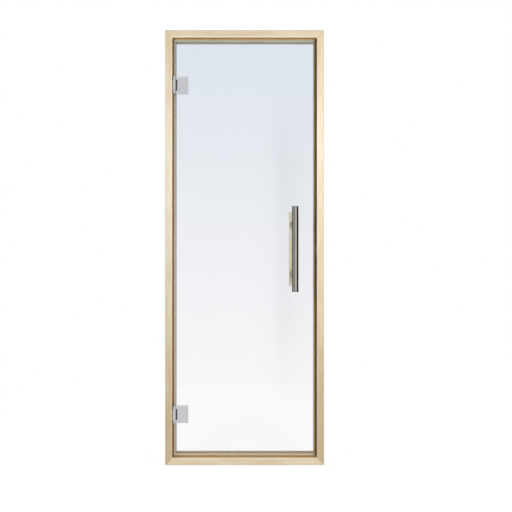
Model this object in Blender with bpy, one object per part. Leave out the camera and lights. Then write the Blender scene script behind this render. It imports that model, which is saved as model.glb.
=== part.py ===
"""Sauna door: a clear glass leaf on two clamp hinges in a mitred timber frame.

Metres, +Z up. The outside of the door faces -Y, and the hinges are on the -X side.
The origin lies at the middle of the threshold's underside.
"""

import math

import bmesh
import bpy
from mathutils import Matrix, Vector

# Gap that is left between pieces that touch
SEAT_GAP = 0.0003

# Timber frame: overall size, and the section of its four mitred members
FRAME_WIDTH = 0.690
FRAME_HEIGHT = 1.890
FRAME_DEPTH = 0.062
PROFILE_WIDTH = 0.042
STOP_WIDTH = 0.0115
REBATE_DEPTH = 0.025
ARRIS_RADIUS = 0.002
FACE_ARRIS_RADIUS = 0.003
STOP_ARRIS_RADIUS = 0.0015

# Silicone seal on the stop: a tongue in a kerf, a flat web and a bulb under the glass
SEAL_SETBACK = 0.0045
SEAL_MARGIN = 0.0006
KERF_SETBACK = 0.0055
KERF_WIDTH = 0.002
KERF_DEPTH = 0.006
SEAL_WEB = 0.001
SEAL_HEIGHT = 0.003
SEAL_BULB_RADIUS = 0.002

# Toughened glass leaf
GLASS_THICKNESS = 0.008
GLASS_MARGIN = 0.007
GLASS_CORNER_RADIUS = 0.003
GLASS_ARRIS = 0.001

# Clamp hinges
UPPER_HINGE_DROP = 0.200
LOWER_HINGE_RISE = 0.1805
HINGE_HEIGHT = 0.076
HINGE_AXIS_SETBACK = 0.009
KNUCKLE_RADIUS = 0.006
KNUCKLE_HEIGHT = 0.048
KNUCKLE_END_GAP = 0.0005
SLOT_WIDTH = 0.0062
PLATE_WIDTH = 0.0473
PLATE_THICKNESS = 0.006
PLATE_BEVEL_WIDTH = 0.005
PLATE_BEVEL_DEPTH = 0.002
BACK_PLATE_HEIGHT = 0.062
BACK_PLATE_SETBACK = 0.003
GASKET_THICKNESS = 0.001
GASKET_SETBACK = 0.001
GASKET_SLOT_COVER = 0.0056
HINGE_PIN_RADIUS = 0.003
PIN_CHAMFER = 0.0005
RUNNING_GAP = 0.0003
JAMB_LEAF_THICKNESS = 0.0025
JAMB_LEAF_DEPTH = 0.019
JAMB_LEAF_CORNER = 0.003
ARM_THICKNESS = 0.005
STOP_CLEARANCE = 0.0055
CLAMP_BLOCK_WIDTH = 0.028
CLAMP_BLOCK_HEIGHT = 0.034
CLAMP_BLOCK_SETBACK = 0.002
CUTOUT_CLEARANCE = 0.002
CUTOUT_RADIUS = 0.006
CLAMP_SCREW_SPACING = 0.018
CLAMP_SCREW_HEAD_RADIUS = 0.0048
CLAMP_SCREW_SHANK_RADIUS = 0.0026
LEAF_SCREW_SPACING = 0.061
LEAF_SCREW_HEAD_RADIUS = 0.0036
LEAF_SCREW_SHANK_RADIUS = 0.0018

# Pull handle on two studs through the glass
HANDLE_SETBACK = 0.090
HANDLE_CENTRE_HEIGHT = 0.939
STUD_SPACING = 0.220
STUD_RADIUS = 0.004
STUD_ENGAGEMENT = 0.018
GLASS_HOLE_RADIUS = 0.007
WASHER_THICKNESS = 0.0015
TUBE_RADIUS = 0.014
TUBE_WALL = 0.0015
TUBE_LENGTH = 0.366
CAP_THICKNESS = 0.002
CAP_PLUG_DEPTH = 0.006
OUTER_REACH = 0.045
OUTER_POST_RADIUS = 0.008
OUTER_WASHER_RADIUS = 0.011
BAR_WIDTH = 0.040
BAR_THICKNESS = 0.020
BAR_LENGTH = 0.332
BAR_EDGE_RADIUS = 0.005
BAR_END_ROUND = 0.002
INNER_REACH = 0.045
INNER_POST_RADIUS = 0.015
INNER_WASHER_RADIUS = 0.0165

# Roller catch let into the strike jamb
CATCH_HEIGHT = 0.939
CATCH_PLATE_HEIGHT = 0.056
CATCH_PLATE_DEPTH = 0.016
CATCH_PLATE_THICKNESS = 0.002
CATCH_PLATE_CORNER = 0.004
CATCH_BODY_HEIGHT = 0.030
CATCH_BODY_DEPTH = 0.014
CATCH_BODY_LENGTH = 0.018
ROLLER_RADIUS = 0.004
ROLLER_LENGTH = 0.011
ROLLER_PROUD = 0.002
ROLLER_SETBACK = 0.0035
CATCH_SCREW_SPACING = 0.043
CATCH_SCREW_HEAD_RADIUS = 0.0028
CATCH_SCREW_SHANK_RADIUS = 0.0015

# Facets
ROUND_SEGMENTS = 32
TUBE_SEGMENTS = 48
SCREW_SEGMENTS = 24
ARC_STEPS = 4
SHARP_ANGLE = 35.0
MERGE_DISTANCE = 0.00001

# Places worked out from the sizes above
FRONT = -FRAME_DEPTH / 2
FACE_WIDTH = PROFILE_WIDTH - STOP_WIDTH
STOP_FACE = FRONT + REBATE_DEPTH
GLASS_BACK = STOP_FACE - SEAL_HEIGHT - SEAT_GAP
GLASS_FRONT = GLASS_BACK - GLASS_THICKNESS
GLASS_INSET = FACE_WIDTH + GLASS_MARGIN
GLASS_HALF_WIDTH = FRAME_WIDTH / 2 - GLASS_INSET
GLASS_TOP = FRAME_HEIGHT - GLASS_INSET
GLASS_BOTTOM = GLASS_INSET
HINGE_REBATE_X = -FRAME_WIDTH / 2 + FACE_WIDTH
STRIKE_REBATE_X = -HINGE_REBATE_X
PLATE_BACK = GLASS_FRONT - 2 * SEAT_GAP - GASKET_THICKNESS
AXIS_X = HINGE_REBATE_X + HINGE_AXIS_SETBACK
AXIS_Y = PLATE_BACK - KNUCKLE_RADIUS
HINGE_HEIGHTS = {
    "upper": GLASS_TOP - UPPER_HINGE_DROP,
    "lower": GLASS_BOTTOM + LOWER_HINGE_RISE,
}
HANDLE_X = GLASS_HALF_WIDTH - HANDLE_SETBACK
STUD_HEIGHTS = {
    "upper": HANDLE_CENTRE_HEIGHT + STUD_SPACING / 2,
    "lower": HANDLE_CENTRE_HEIGHT - STUD_SPACING / 2,
}
TUBE_Y = GLASS_FRONT - OUTER_REACH - TUBE_RADIUS
BAR_FRONT = GLASS_BACK + INNER_REACH


def clear_scene():
    for thing in list(bpy.data.objects):
        bpy.data.objects.remove(thing, do_unlink=True)


def material(name, colour, roughness, metallic=0.0, alpha=1.0):
    made = bpy.data.materials.get(name)
    if made:
        return made
    made = bpy.data.materials.new(name)
    made.use_nodes = True
    shader = made.node_tree.nodes["Principled BSDF"]
    shader.inputs["Base Color"].default_value = (*colour, 1.0)
    shader.inputs["Roughness"].default_value = roughness
    shader.inputs["Metallic"].default_value = metallic
    shader.inputs["Alpha"].default_value = alpha
    return made


def timber():
    return material("pale_aspen", (0.78, 0.66, 0.47), 0.6)


def steel():
    return material("brushed_steel", (0.45, 0.43, 0.41), 0.3, 1.0)


def satin_metal():
    return material("satin_chrome", (0.62, 0.62, 0.63), 0.35, 1.0)


def clear_glass():
    return material("clear_glass", (0.88, 0.94, 0.96), 0.02, 0.0, 0.3)


def silicone():
    return material("grey_silicone", (0.45, 0.44, 0.40), 0.7)


def dark_rubber():
    return material("dark_rubber", (0.03, 0.03, 0.03), 0.7)


def clear_nylon():
    return material("nylon", (0.75, 0.75, 0.72), 0.5)


def finish_mesh(bm, name):
    """Turn a bmesh into an object's mesh with its faces pointing out."""
    bmesh.ops.recalc_face_normals(bm, faces=bm.faces)
    mesh = bpy.data.meshes.new(name)
    bm.to_mesh(mesh)
    bm.free()
    return mesh


def add_object(name, mesh, finish, smooth=False):
    made = bpy.data.objects.new(name, mesh)
    bpy.context.scene.collection.objects.link(made)
    if not mesh.materials:
        mesh.materials.append(finish)
    if smooth:
        mesh.shade_smooth()
        mesh.set_sharp_from_angle(angle=math.radians(SHARP_ANGLE))
    return made


def arc_points(centre, radius, start, end, steps):
    """Points along an arc, both ends included; angles in degrees."""
    points = []
    for step in range(steps + 1):
        angle = math.radians(start + (end - start) * step / steps)
        points.append((centre[0] + radius * math.cos(angle), centre[1] + radius * math.sin(angle)))
    return points


def rounded_outline(corners, steps=ARC_STEPS):
    """An outline from (a, b, radius) corners; each corner with a radius becomes an arc."""
    points = []
    count = len(corners)
    for index, (a, b, radius) in enumerate(corners):
        here = Vector((a, b))
        if radius <= 0.0:
            points.append((a, b))
            continue
        before = Vector(corners[index - 1][:2]) - here
        after = Vector(corners[(index + 1) % count][:2]) - here
        before.normalize()
        after.normalize()
        half = before.angle(after) / 2
        centre = here + (before + after).normalized() * (radius / math.sin(half))
        start = here + before * (radius / math.tan(half)) - centre
        turn = (here + after * (radius / math.tan(half)) - centre).angle_signed(start)
        for step in range(steps + 1):
            spoke = start.copy()
            spoke.rotate(Matrix.Rotation(turn * step / steps, 2))
            points.append(tuple(centre + spoke))
    return points


def box_outline(a_low, a_high, b_low, b_high, radius=0.0):
    corners = [(a_low, b_low), (a_high, b_low), (a_high, b_high), (a_low, b_high)]
    return rounded_outline([(a, b, radius) for a, b in corners])


def sweep(name, start_ring, end_ring):
    """A closed solid between two rings of as many points."""
    bm = bmesh.new()
    starts = [bm.verts.new(point) for point in start_ring]
    ends = [bm.verts.new(point) for point in end_ring]
    bm.faces.new(starts)
    bm.faces.new(ends)
    count = len(starts)
    for index in range(count):
        following = (index + 1) % count
        bm.faces.new((starts[index], starts[following], ends[following], ends[index]))
    return finish_mesh(bm, name)


def prism(name, outline, low, high, along="Z"):
    """An outline pushed along an axis: (x, y) along Z, (x, z) along Y or (y, z) along X."""
    place = {
        "Z": lambda a, b, h: (a, b, h),
        "Y": lambda a, b, h: (a, h, b),
        "X": lambda a, b, h: (h, a, b),
    }[along]
    start_ring = [place(a, b, low) for a, b in outline]
    end_ring = [place(a, b, high) for a, b in outline]
    return sweep(name, start_ring, end_ring)


def turned(name, profile, segments, axis="Z"):
    """A profile of (radius, height) points, closed on itself or on the axis, turned a full circle.

    Height runs up +Z, or along -Y or +X where that axis is named.
    """
    bm = bmesh.new()
    points = [bm.verts.new((radius, 0.0, height)) for radius, height in profile]
    pairs = list(zip(points, points[1:]))
    if min(radius for radius, height in profile) > 0.0:
        pairs.append((points[-1], points[0]))
    edges = [bm.edges.new(pair) for pair in pairs]
    bmesh.ops.spin(
        bm,
        geom=points + edges,
        cent=(0, 0, 0),
        axis=(0, 0, 1),
        angle=math.tau,
        steps=segments,
        use_merge=True,
    )
    bmesh.ops.remove_doubles(bm, verts=bm.verts, dist=MERGE_DISTANCE)
    if axis != "Z":
        turn = Matrix.Rotation(math.radians(90), 3, {"Y": "X", "X": "Y"}[axis])
        bmesh.ops.rotate(bm, verts=bm.verts, cent=(0, 0, 0), matrix=turn)
    return finish_mesh(bm, name)


def rod_profile(radius, low, high, chamfer=0.0):
    if chamfer <= 0.0:
        return [(0.0, low), (radius, low), (radius, high), (0.0, high)]
    return [
        (0.0, low),
        (radius - chamfer, low),
        (radius, low + chamfer),
        (radius, high - chamfer),
        (radius - chamfer, high),
        (0.0, high),
    ]


def ring_profile(inner, outer, low, high):
    return [(inner, low), (outer, low), (outer, high), (inner, high)]


def as_cutter(name, mesh, location=(0, 0, 0)):
    cutter = bpy.data.objects.new(name, mesh)
    bpy.context.scene.collection.objects.link(cutter)
    cutter.location = location
    cutter.hide_render = True
    cutter.display_type = "WIRE"
    return cutter


def boolean(target, tool, operation="DIFFERENCE"):
    modifier = target.modifiers.new(tool.name, "BOOLEAN")
    modifier.operation = operation
    modifier.solver = "EXACT"
    modifier.object = tool


def countersink(name, location, head, shank, axis, sign):
    """A cutter for a 90 degree countersink that opens along an axis, towards the sign of its height."""
    profile = [
        (0.0, shank - head),
        (shank, shank - head),
        (head + SEAT_GAP, SEAT_GAP),
        (0.0, SEAT_GAP),
    ]
    mesh = turned(name, [(radius, sign * height) for radius, height in profile], SCREW_SEGMENTS, axis)
    return as_cutter(name, mesh, location)


def frame_profile():
    """Section of a frame member: (in from the outer face, back from the front face)."""
    kerf_start = FACE_WIDTH + KERF_SETBACK
    kerf_end = kerf_start + KERF_WIDTH
    kerf_floor = REBATE_DEPTH + KERF_DEPTH
    return rounded_outline([
        (0.0, 0.0, ARRIS_RADIUS),
        (FACE_WIDTH, 0.0, FACE_ARRIS_RADIUS),
        (FACE_WIDTH, REBATE_DEPTH, 0.0),
        (kerf_start, REBATE_DEPTH, 0.0),
        (kerf_start, kerf_floor, 0.0),
        (kerf_end, kerf_floor, 0.0),
        (kerf_end, REBATE_DEPTH, 0.0),
        (PROFILE_WIDTH, REBATE_DEPTH, STOP_ARRIS_RADIUS),
        (PROFILE_WIDTH, FRAME_DEPTH, ARRIS_RADIUS),
        (0.0, FRAME_DEPTH, ARRIS_RADIUS),
    ])


def seal_profile():
    """Section of the seal, in the same coordinates as the frame's."""
    tongue_low = FACE_WIDTH + KERF_SETBACK + SEAT_GAP
    tongue_high = FACE_WIDTH + KERF_SETBACK + KERF_WIDTH - SEAT_GAP
    tongue_end = REBATE_DEPTH + KERF_DEPTH - SEAT_GAP
    seat = REBATE_DEPTH - SEAT_GAP
    web = seat - SEAL_WEB
    bulb_end = PROFILE_WIDTH - SEAL_MARGIN
    bulb_centre = (bulb_end - SEAL_BULB_RADIUS, REBATE_DEPTH - SEAL_HEIGHT + SEAL_BULB_RADIUS)
    foot_start = math.degrees(math.asin((bulb_centre[1] - web) / SEAL_BULB_RADIUS))
    bulb = arc_points(bulb_centre, SEAL_BULB_RADIUS, 180.0 + foot_start, 360.0, 2 * ARC_STEPS)
    return [
        (tongue_low, tongue_end),
        (tongue_low, seat),
        (FACE_WIDTH + SEAL_SETBACK, seat),
        (FACE_WIDTH + SEAL_SETBACK, web),
        *bulb,
        (bulb_end, seat),
        (tongue_high, seat),
        (tongue_high, tongue_end),
    ]


def mitred_member(name, profile, side, finish):
    """A length of a profile along one side of the frame, mitred at both ends."""
    half = FRAME_WIDTH / 2
    trim = SEAT_GAP / math.sqrt(2)
    start_ring = []
    end_ring = []
    for inset, depth in profile:
        cut = inset + trim
        y = FRONT + depth
        if side == "hinge":
            start_ring.append((-half + inset, y, cut))
            end_ring.append((-half + inset, y, FRAME_HEIGHT - cut))
        elif side == "strike":
            start_ring.append((half - inset, y, cut))
            end_ring.append((half - inset, y, FRAME_HEIGHT - cut))
        elif side == "top":
            start_ring.append((-half + cut, y, FRAME_HEIGHT - inset))
            end_ring.append((half - cut, y, FRAME_HEIGHT - inset))
        else:
            start_ring.append((-half + cut, y, inset))
            end_ring.append((half - cut, y, inset))
    return add_object(name, sweep(name, start_ring, end_ring), finish, smooth=True)


def build_frame():
    profile = frame_profile()
    members = {"hinge_jamb": "hinge", "strike_jamb": "strike", "head": "top", "threshold": "bottom"}
    made = {name: mitred_member(name, profile, side, timber()) for name, side in members.items()}
    for place, height in HINGE_HEIGHTS.items():
        boolean(made["hinge_jamb"], hinge_mortise(place, height))
    boolean(made["strike_jamb"], catch_mortise())


def build_seals():
    profile = seal_profile()
    seals = {
        "seal_hinge_side": "hinge",
        "seal_strike_side": "strike",
        "seal_top": "top",
        "seal_bottom": "bottom",
    }
    for name, side in seals.items():
        mitred_member(name, profile, side, silicone())


def leaf_axis():
    """The empty that carries the swinging leaf; it stands on the hinge axis."""
    carrier = bpy.data.objects.new("leaf_axis", None)
    bpy.context.scene.collection.objects.link(carrier)
    carrier.location = (AXIS_X, AXIS_Y, 0.0)
    return carrier


def hang(carrier, piece, location):
    """Place a piece of the leaf at a world position, as a child of the leaf's axis."""
    piece.parent = carrier
    piece.location = Vector(location) - carrier.location


def build_glass(carrier):
    outline = box_outline(
        -GLASS_HALF_WIDTH,
        GLASS_HALF_WIDTH,
        GLASS_BOTTOM,
        GLASS_TOP,
        GLASS_CORNER_RADIUS,
    )
    mesh = prism("glass_pane", outline, -GLASS_THICKNESS / 2, GLASS_THICKNESS / 2, along="Y")
    bm = bmesh.new()
    bm.from_mesh(mesh)
    rims = [edge for edge in bm.edges if abs(edge.verts[0].co.y - edge.verts[1].co.y) < GLASS_ARRIS]
    bmesh.ops.bevel(bm, geom=rims, offset=GLASS_ARRIS, segments=1, profile=0.5, affect="EDGES")
    bm.to_mesh(mesh)
    bm.free()
    pane = add_object("glass_pane", mesh, clear_glass())
    middle = (GLASS_FRONT + GLASS_BACK) / 2
    hang(carrier, pane, (0.0, middle, 0.0))
    for place, height in HINGE_HEIGHTS.items():
        boolean(pane, glass_cutout(place, height, middle))
    for place, height in STUD_HEIGHTS.items():
        name = "stud_hole_" + place
        profile = rod_profile(GLASS_HOLE_RADIUS, -GLASS_THICKNESS, GLASS_THICKNESS)
        hole = turned(name, profile, ROUND_SEGMENTS, "Y")
        boolean(pane, as_cutter(name, hole, (HANDLE_X, middle, height)))


def clamp_block_span():
    """Where the block of the back plate lies, as X from the hinge axis."""
    low = KNUCKLE_RADIUS + SLOT_WIDTH + CLAMP_BLOCK_SETBACK
    return low, low + CLAMP_BLOCK_WIDTH


def glass_cutout(place, height, middle):
    inner = AXIS_X + clamp_block_span()[1] + CUTOUT_CLEARANCE
    half = CLAMP_BLOCK_HEIGHT / 2 + CUTOUT_CLEARANCE
    outer = -GLASS_HALF_WIDTH - CUTOUT_RADIUS
    outline = rounded_outline([
        (outer, -half, 0.0),
        (inner, -half, CUTOUT_RADIUS),
        (inner, half, CUTOUT_RADIUS),
        (outer, half, 0.0),
    ])
    mesh = prism("hinge_cutout_" + place, outline, -GLASS_THICKNESS, GLASS_THICKNESS, along="Y")
    return as_cutter("hinge_cutout_" + place, mesh, (0.0, middle, height))


def jamb_leaf_front():
    """Front edge of the hinge's leaf on the jamb, just in front of the arm that it carries."""
    return AXIS_Y - ARM_THICKNESS / 2 - SEAT_GAP


def hinge_mortise(place, height):
    low = HINGE_REBATE_X - JAMB_LEAF_THICKNESS - SEAT_GAP
    front = jamb_leaf_front() - SEAT_GAP
    back = jamb_leaf_front() + JAMB_LEAF_DEPTH + SEAT_GAP
    half = HINGE_HEIGHT / 2 + SEAT_GAP
    outline = box_outline(front, back, -half, half, JAMB_LEAF_CORNER + SEAT_GAP)
    mesh = prism("hinge_mortise_" + place, outline, low, HINGE_REBATE_X + JAMB_LEAF_THICKNESS, along="X")
    return as_cutter("hinge_mortise_" + place, mesh, (0.0, 0.0, height))


def jamb_leaf_mesh():
    """The hinge's fixed half, around its axis: a leaf let into the jamb, an arm and a knuckle."""
    leaf_low = -HINGE_AXIS_SETBACK - JAMB_LEAF_THICKNESS
    front = jamb_leaf_front() - AXIS_Y
    half = HINGE_HEIGHT / 2
    outline = box_outline(front, front + JAMB_LEAF_DEPTH, -half, half, JAMB_LEAF_CORNER)
    return prism("jamb_leaf", outline, leaf_low, -HINGE_AXIS_SETBACK, along="X")


def knuckle_mesh():
    """The fixed knuckle and the arm that joins it to the jamb leaf."""
    half = KNUCKLE_HEIGHT / 2 - KNUCKLE_END_GAP
    arm_half = ARM_THICKNESS / 2
    spread = math.degrees(math.asin(arm_half / KNUCKLE_RADIUS))
    outer = arc_points((0.0, 0.0), KNUCKLE_RADIUS, -180.0 + spread, 180.0 - spread, ROUND_SEGMENTS)
    root = -HINGE_AXIS_SETBACK - JAMB_LEAF_THICKNESS / 2
    outline = [(root, arm_half), (root, -arm_half), *outer]
    return prism("knuckle", outline, -half, half)


def pin_bore(name, location):
    profile = rod_profile(HINGE_PIN_RADIUS + RUNNING_GAP, -HINGE_HEIGHT, HINGE_HEIGHT)
    return as_cutter(name, turned(name, profile, ROUND_SEGMENTS), location)


def plate_right():
    """Right edge of the clamp plates and gaskets, from the hinge axis."""
    return KNUCKLE_RADIUS + SLOT_WIDTH + PLATE_WIDTH


def front_plate_mesh():
    """The outside clamp plate, around the hinge axis, still without its notch."""
    right = plate_right()
    back = KNUCKLE_RADIUS
    front = back - PLATE_THICKNESS
    lobe_end = 360.0 + math.degrees(math.asin(front / KNUCKLE_RADIUS))
    lobe = arc_points((0.0, 0.0), KNUCKLE_RADIUS, 90.0, lobe_end, ROUND_SEGMENTS)
    bevel_start = (right - PLATE_BEVEL_WIDTH, front)
    bevel_end = (right, front + PLATE_BEVEL_DEPTH)
    outline = [*lobe, bevel_start, bevel_end, (right, back)]
    return prism("front_plate", outline, -HINGE_HEIGHT / 2, HINGE_HEIGHT / 2)


def end_bevel_cutter(name, location, left, right, face, inward, plate_height):
    """Two wedges that bevel a plate's top and bottom edges along one face.

    The face lies at Y = face from the plate's place, and inward is the sign of Y into the plate.
    """
    half = plate_height / 2
    proud = face - inward * PLATE_BEVEL_DEPTH
    bm = bmesh.new()
    for sign in (-1, 1):
        far = sign * (half + PLATE_BEVEL_WIDTH)
        corners = [
            (proud, sign * (half - 2 * PLATE_BEVEL_WIDTH)),
            (proud, far),
            (face + inward * 2 * PLATE_BEVEL_DEPTH, far),
        ]
        lows = [bm.verts.new((left, y, z)) for y, z in corners]
        highs = [bm.verts.new((right, y, z)) for y, z in corners]
        bm.faces.new(lows)
        bm.faces.new(highs)
        for index in range(3):
            following = (index + 1) % 3
            bm.faces.new((lows[index], lows[following], highs[following], highs[index]))
    return as_cutter(name, finish_mesh(bm, name), location)


def notch_cutter(name, location):
    """The notch in the outside plate, where the fixed knuckle turns."""
    half = KNUCKLE_HEIGHT / 2
    reach = 2 * KNUCKLE_RADIUS
    outline = box_outline(-reach, KNUCKLE_RADIUS + SLOT_WIDTH, -half, half)
    return as_cutter(name, prism(name, outline, -reach, reach, along="Y"), location)


def gasket_mesh(left, right, plate_height):
    """A gasket sheet, set back a little from the free edges of the plate over it."""
    half = plate_height / 2 - GASKET_SETBACK
    outline = box_outline(left, right - GASKET_SETBACK, -half, half)
    return prism("gasket", outline, -GASKET_THICKNESS / 2, GASKET_THICKNESS / 2, along="Y")


def gasket_opening(name, location):
    low, high = clamp_block_span()
    half = CLAMP_BLOCK_HEIGHT / 2
    outline = box_outline(low - SEAT_GAP, high + SEAT_GAP, -half - SEAT_GAP, half + SEAT_GAP)
    mesh = prism(name, outline, -GASKET_THICKNESS, GASKET_THICKNESS, along="Y")
    return as_cutter(name, mesh, location)


def back_plate_left():
    """Left edge of the inside plate from the hinge axis, clear of the stop."""
    return -FRAME_WIDTH / 2 + PROFILE_WIDTH + STOP_CLEARANCE - AXIS_X


def back_plate_right():
    """Free edge of the inside plate, which stays out of sight behind the outside plate."""
    return plate_right() - BACK_PLATE_SETBACK


def back_plate_mesh():
    left = back_plate_left()
    right = back_plate_right()
    back = PLATE_THICKNESS
    outline = [
        (left, 0.0),
        (right, 0.0),
        (right, back - PLATE_BEVEL_DEPTH),
        (right - PLATE_BEVEL_WIDTH, back),
        (left + PLATE_BEVEL_WIDTH, back),
        (left, back - PLATE_BEVEL_DEPTH),
    ]
    return prism("back_plate", outline, -BACK_PLATE_HEIGHT / 2, BACK_PLATE_HEIGHT / 2)


def clamp_block_mesh():
    """The block on the inside plate that passes through the glass to the outside plate."""
    low, high = clamp_block_span()
    half = CLAMP_BLOCK_HEIGHT / 2
    reach = GLASS_THICKNESS + 2 * GASKET_THICKNESS + 3 * SEAT_GAP
    outline = box_outline(low, high, -half, half)
    return prism("clamp_block", outline, -reach, PLATE_THICKNESS / 2, along="Y")


def build_fixed_half(name, centre):
    """The half of a hinge that is screwed to the jamb."""
    fixed = add_object(name + "jamb_leaf", jamb_leaf_mesh(), satin_metal(), smooth=True)
    fixed.location = centre
    boolean(fixed, as_cutter(name + "knuckle", knuckle_mesh(), centre), "UNION")
    boolean(fixed, pin_bore(name + "knuckle_bore", centre))
    middle = jamb_leaf_front() + JAMB_LEAF_DEPTH / 2
    for sign in (-1, 1):
        spot = (HINGE_REBATE_X, middle, centre[2] + sign * LEAF_SCREW_SPACING / 2)
        cutter_name = name + ("leaf_screw_top" if sign > 0 else "leaf_screw_bottom")
        cutter = countersink(cutter_name, spot, LEAF_SCREW_HEAD_RADIUS, LEAF_SCREW_SHANK_RADIUS, "X", 1)
        boolean(fixed, cutter)


def build_front_plate(carrier, name, centre):
    """The outside clamp plate, whose two ears turn on the pin beside the fixed knuckle."""
    front = add_object(name + "front_plate", front_plate_mesh(), satin_metal(), smooth=True)
    hang(carrier, front, centre)
    boolean(front, notch_cutter(name + "notch", centre))
    past_right = plate_right() + PLATE_BEVEL_WIDTH
    front_face = KNUCKLE_RADIUS - PLATE_THICKNESS
    lobe_end = KNUCKLE_RADIUS + SEAT_GAP
    cutter_name = name + "front_bevels"
    cutter = end_bevel_cutter(cutter_name, centre, lobe_end, past_right, front_face, 1, HINGE_HEIGHT)
    boolean(front, cutter)
    boolean(front, pin_bore(name + "ear_bore", centre))


def build_pin(carrier, name, centre):
    profile = rod_profile(HINGE_PIN_RADIUS, -HINGE_HEIGHT / 2, HINGE_HEIGHT / 2, PIN_CHAMFER)
    pin = add_object(name + "pin", turned(name + "pin", profile, ROUND_SEGMENTS), satin_metal(), smooth=True)
    hang(carrier, pin, centre)


def build_gasket(carrier, name, mesh, y, height):
    """A rubber sheet between the glass and a clamp plate, open where the clamp block passes."""
    place = (AXIS_X, y, height)
    gasket = add_object(name, mesh, dark_rubber())
    hang(carrier, gasket, place)
    boolean(gasket, gasket_opening(name + "_opening", place))


def build_back_plate(carrier, name, height):
    """The inside clamp plate with its block, and countersinks for the two clamping screws."""
    place = (AXIS_X, GLASS_BACK + 2 * SEAT_GAP + GASKET_THICKNESS, height)
    back = add_object(name + "back_plate", back_plate_mesh(), satin_metal())
    hang(carrier, back, place)
    boolean(back, as_cutter(name + "clamp_block", clamp_block_mesh(), place), "UNION")
    past_left = back_plate_left() - PLATE_BEVEL_WIDTH
    past_right = back_plate_right() + PLATE_BEVEL_WIDTH
    cutter_name = name + "back_bevels"
    face = PLATE_THICKNESS
    cutter = end_bevel_cutter(cutter_name, place, past_left, past_right, face, -1, BACK_PLATE_HEIGHT)
    boolean(back, cutter)
    block_low, block_high = clamp_block_span()
    screw_x = AXIS_X + (block_low + block_high) / 2
    for sign in (-1, 1):
        spot = (screw_x, place[1] + PLATE_THICKNESS, height + sign * CLAMP_SCREW_SPACING / 2)
        cutter_name = name + ("clamp_screw_top" if sign > 0 else "clamp_screw_bottom")
        cutter = countersink(cutter_name, spot, CLAMP_SCREW_HEAD_RADIUS, CLAMP_SCREW_SHANK_RADIUS, "Y", -1)
        boolean(back, cutter)


def build_hinge(carrier, place, height):
    centre = (AXIS_X, AXIS_Y, height)
    name = place + "_hinge_"
    build_fixed_half(name, centre)
    build_front_plate(carrier, name, centre)
    build_pin(carrier, name, centre)
    slot_left = KNUCKLE_RADIUS + SLOT_WIDTH - GASKET_SLOT_COVER
    front_y = GLASS_FRONT - SEAT_GAP - GASKET_THICKNESS / 2
    back_y = GLASS_BACK + SEAT_GAP + GASKET_THICKNESS / 2
    front_mesh = gasket_mesh(slot_left, plate_right(), HINGE_HEIGHT)
    back_mesh = gasket_mesh(back_plate_left(), back_plate_right(), BACK_PLATE_HEIGHT)
    build_gasket(carrier, name + "front_gasket", front_mesh, front_y, height)
    build_gasket(carrier, name + "back_gasket", back_mesh, back_y, height)
    build_back_plate(carrier, name, height)


def build_outer_handle(carrier):
    half = TUBE_LENGTH / 2
    bore = TUBE_RADIUS - TUBE_WALL
    tube_half = half - CAP_THICKNESS - SEAT_GAP
    tube_profile = ring_profile(bore, TUBE_RADIUS, -tube_half, tube_half)
    tube_mesh = turned("outer_handle_tube", tube_profile, TUBE_SEGMENTS)
    tube = add_object("outer_handle_tube", tube_mesh, steel(), smooth=True)
    hang(carrier, tube, (HANDLE_X, TUBE_Y, HANDLE_CENTRE_HEIGHT))
    for name, sign in (("outer_handle_cap_top", 1), ("outer_handle_cap_bottom", -1)):
        plug = bore - SEAT_GAP
        heights = [half - CAP_THICKNESS - CAP_PLUG_DEPTH, half - CAP_THICKNESS, half]
        profile = [
            (0.0, heights[0]),
            (plug, heights[0]),
            (plug, heights[1]),
            (TUBE_RADIUS, heights[1]),
            (TUBE_RADIUS, heights[2] - PIN_CHAMFER),
            (TUBE_RADIUS - PIN_CHAMFER, heights[2]),
            (0.0, heights[2]),
        ]
        cap_mesh = turned(name, [(r, sign * h) for r, h in profile], TUBE_SEGMENTS)
        cap = add_object(name, cap_mesh, steel(), smooth=True)
        hang(carrier, cap, (HANDLE_X, TUBE_Y, HANDLE_CENTRE_HEIGHT))


def build_outer_post(carrier, place, height):
    """A post from the glass to the tube, with a saddle end and a blind bore for the stud."""
    washer_back = GLASS_FRONT - SEAT_GAP
    post_back = washer_back - WASHER_THICKNESS - SEAT_GAP
    length = post_back - TUBE_Y
    mesh = turned("outer_post", rod_profile(OUTER_POST_RADIUS, 0.0, length), ROUND_SEGMENTS, "Y")
    post = add_object("outer_handle_post_" + place, mesh, steel(), smooth=True)
    hang(carrier, post, (HANDLE_X, post_back, height))
    saddle_half = 2 * OUTER_POST_RADIUS
    saddle_profile = rod_profile(TUBE_RADIUS + SEAT_GAP, -saddle_half, saddle_half)
    saddle = turned("saddle_" + place, saddle_profile, TUBE_SEGMENTS)
    boolean(post, as_cutter("saddle_" + place, saddle, (HANDLE_X, TUBE_Y, height)))
    boolean(post, stud_bore("outer_stud_bore_" + place, post_back, height))
    washer = turned(
        "outer_washer",
        ring_profile(STUD_RADIUS + SEAT_GAP, OUTER_WASHER_RADIUS, 0.0, WASHER_THICKNESS),
        ROUND_SEGMENTS,
        "Y",
    )
    made = add_object("outer_handle_washer_" + place, washer, clear_nylon(), smooth=True)
    hang(carrier, made, (HANDLE_X, washer_back, height))


def stud_bore(name, seat, height):
    reach = STUD_ENGAGEMENT + SEAT_GAP
    mesh = turned(name, rod_profile(STUD_RADIUS + SEAT_GAP, -reach, reach), ROUND_SEGMENTS, "Y")
    return as_cutter(name, mesh, (HANDLE_X, seat, height))


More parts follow.
